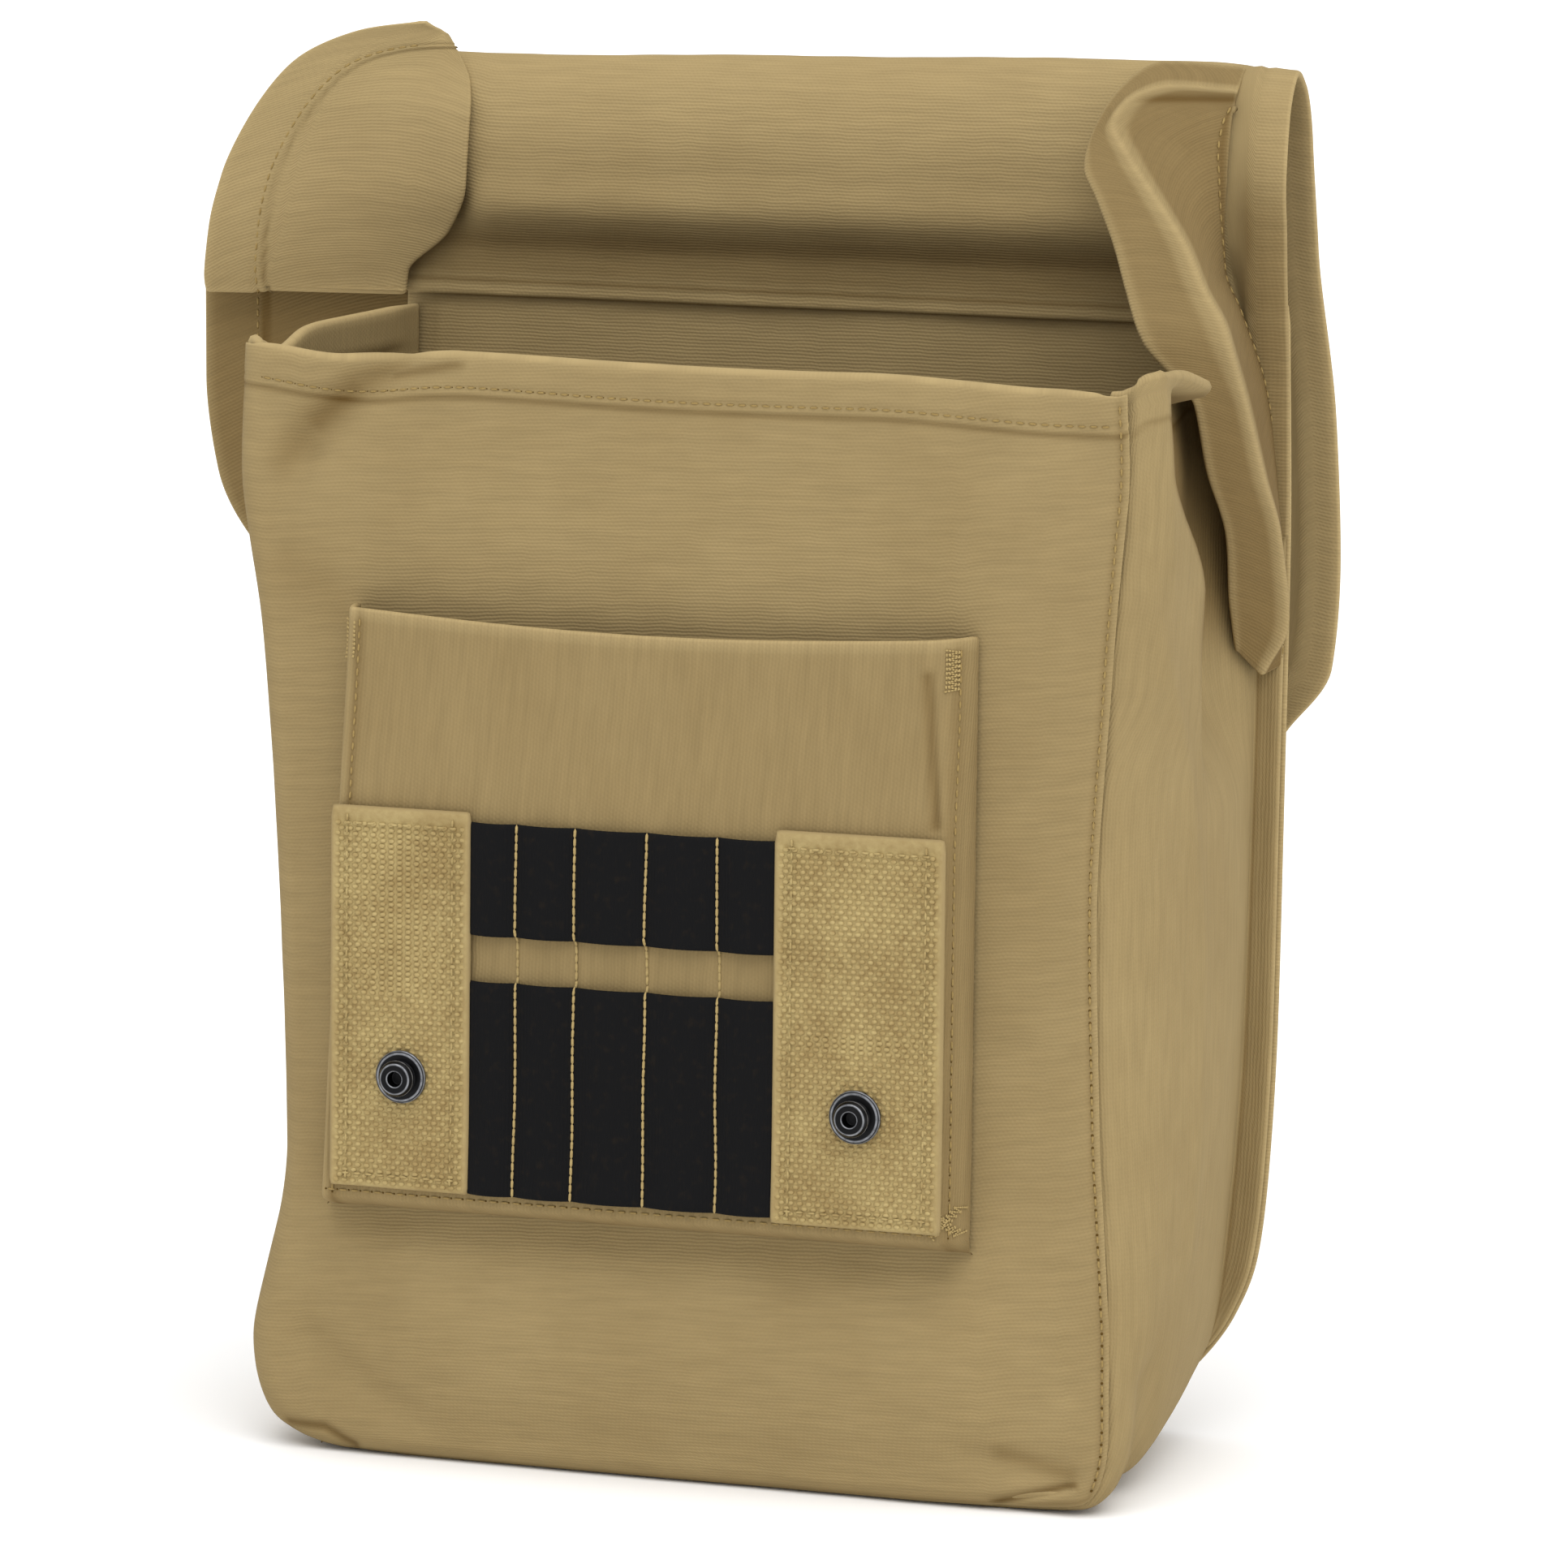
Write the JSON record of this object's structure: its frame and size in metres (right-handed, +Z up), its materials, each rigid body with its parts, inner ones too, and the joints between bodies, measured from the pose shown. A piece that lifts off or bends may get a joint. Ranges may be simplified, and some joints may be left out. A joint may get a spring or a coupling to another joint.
{
  "type": "canvas map case",
  "caption": "Khaki canvas map case standing open with its flap thrown back, with side wings, a front patch pocket, black elastic pen loops, webbing tabs and snap studs.",
  "frame": {"origin": "on the surface that the bag stands on, in the middle of its flat underside", "axes": "+Z up out of the mouth, +Y from the front pocket to the back, +X to the right seen from the front"},
  "size_m": [0.284, 0.1453, 0.3365],
  "materials": {
    "canvas": "matt heavy cotton canvas",
    "webbing": "matt coarse cotton webbing",
    "elastic": "matt black woven elastic",
    "snap_metal": "black lacquered brass"
  },
  "bodies": {
    "root": {"front_panel": "canvas", "gusset": "canvas", "back_panel": "canvas", "flap": "canvas", "left_wing": "canvas", "right_wing": "canvas", "front_pocket": "canvas", "webbing_left": "webbing", "webbing_right": "webbing", "elastic_upper": "elastic", "elastic_lower": "elastic", "stud_left": "snap_metal", "stud_right": "snap_metal", "flap_socket_left": "snap_metal", "flap_socket_right": "snap_metal"}
  },
  "joints": []
}
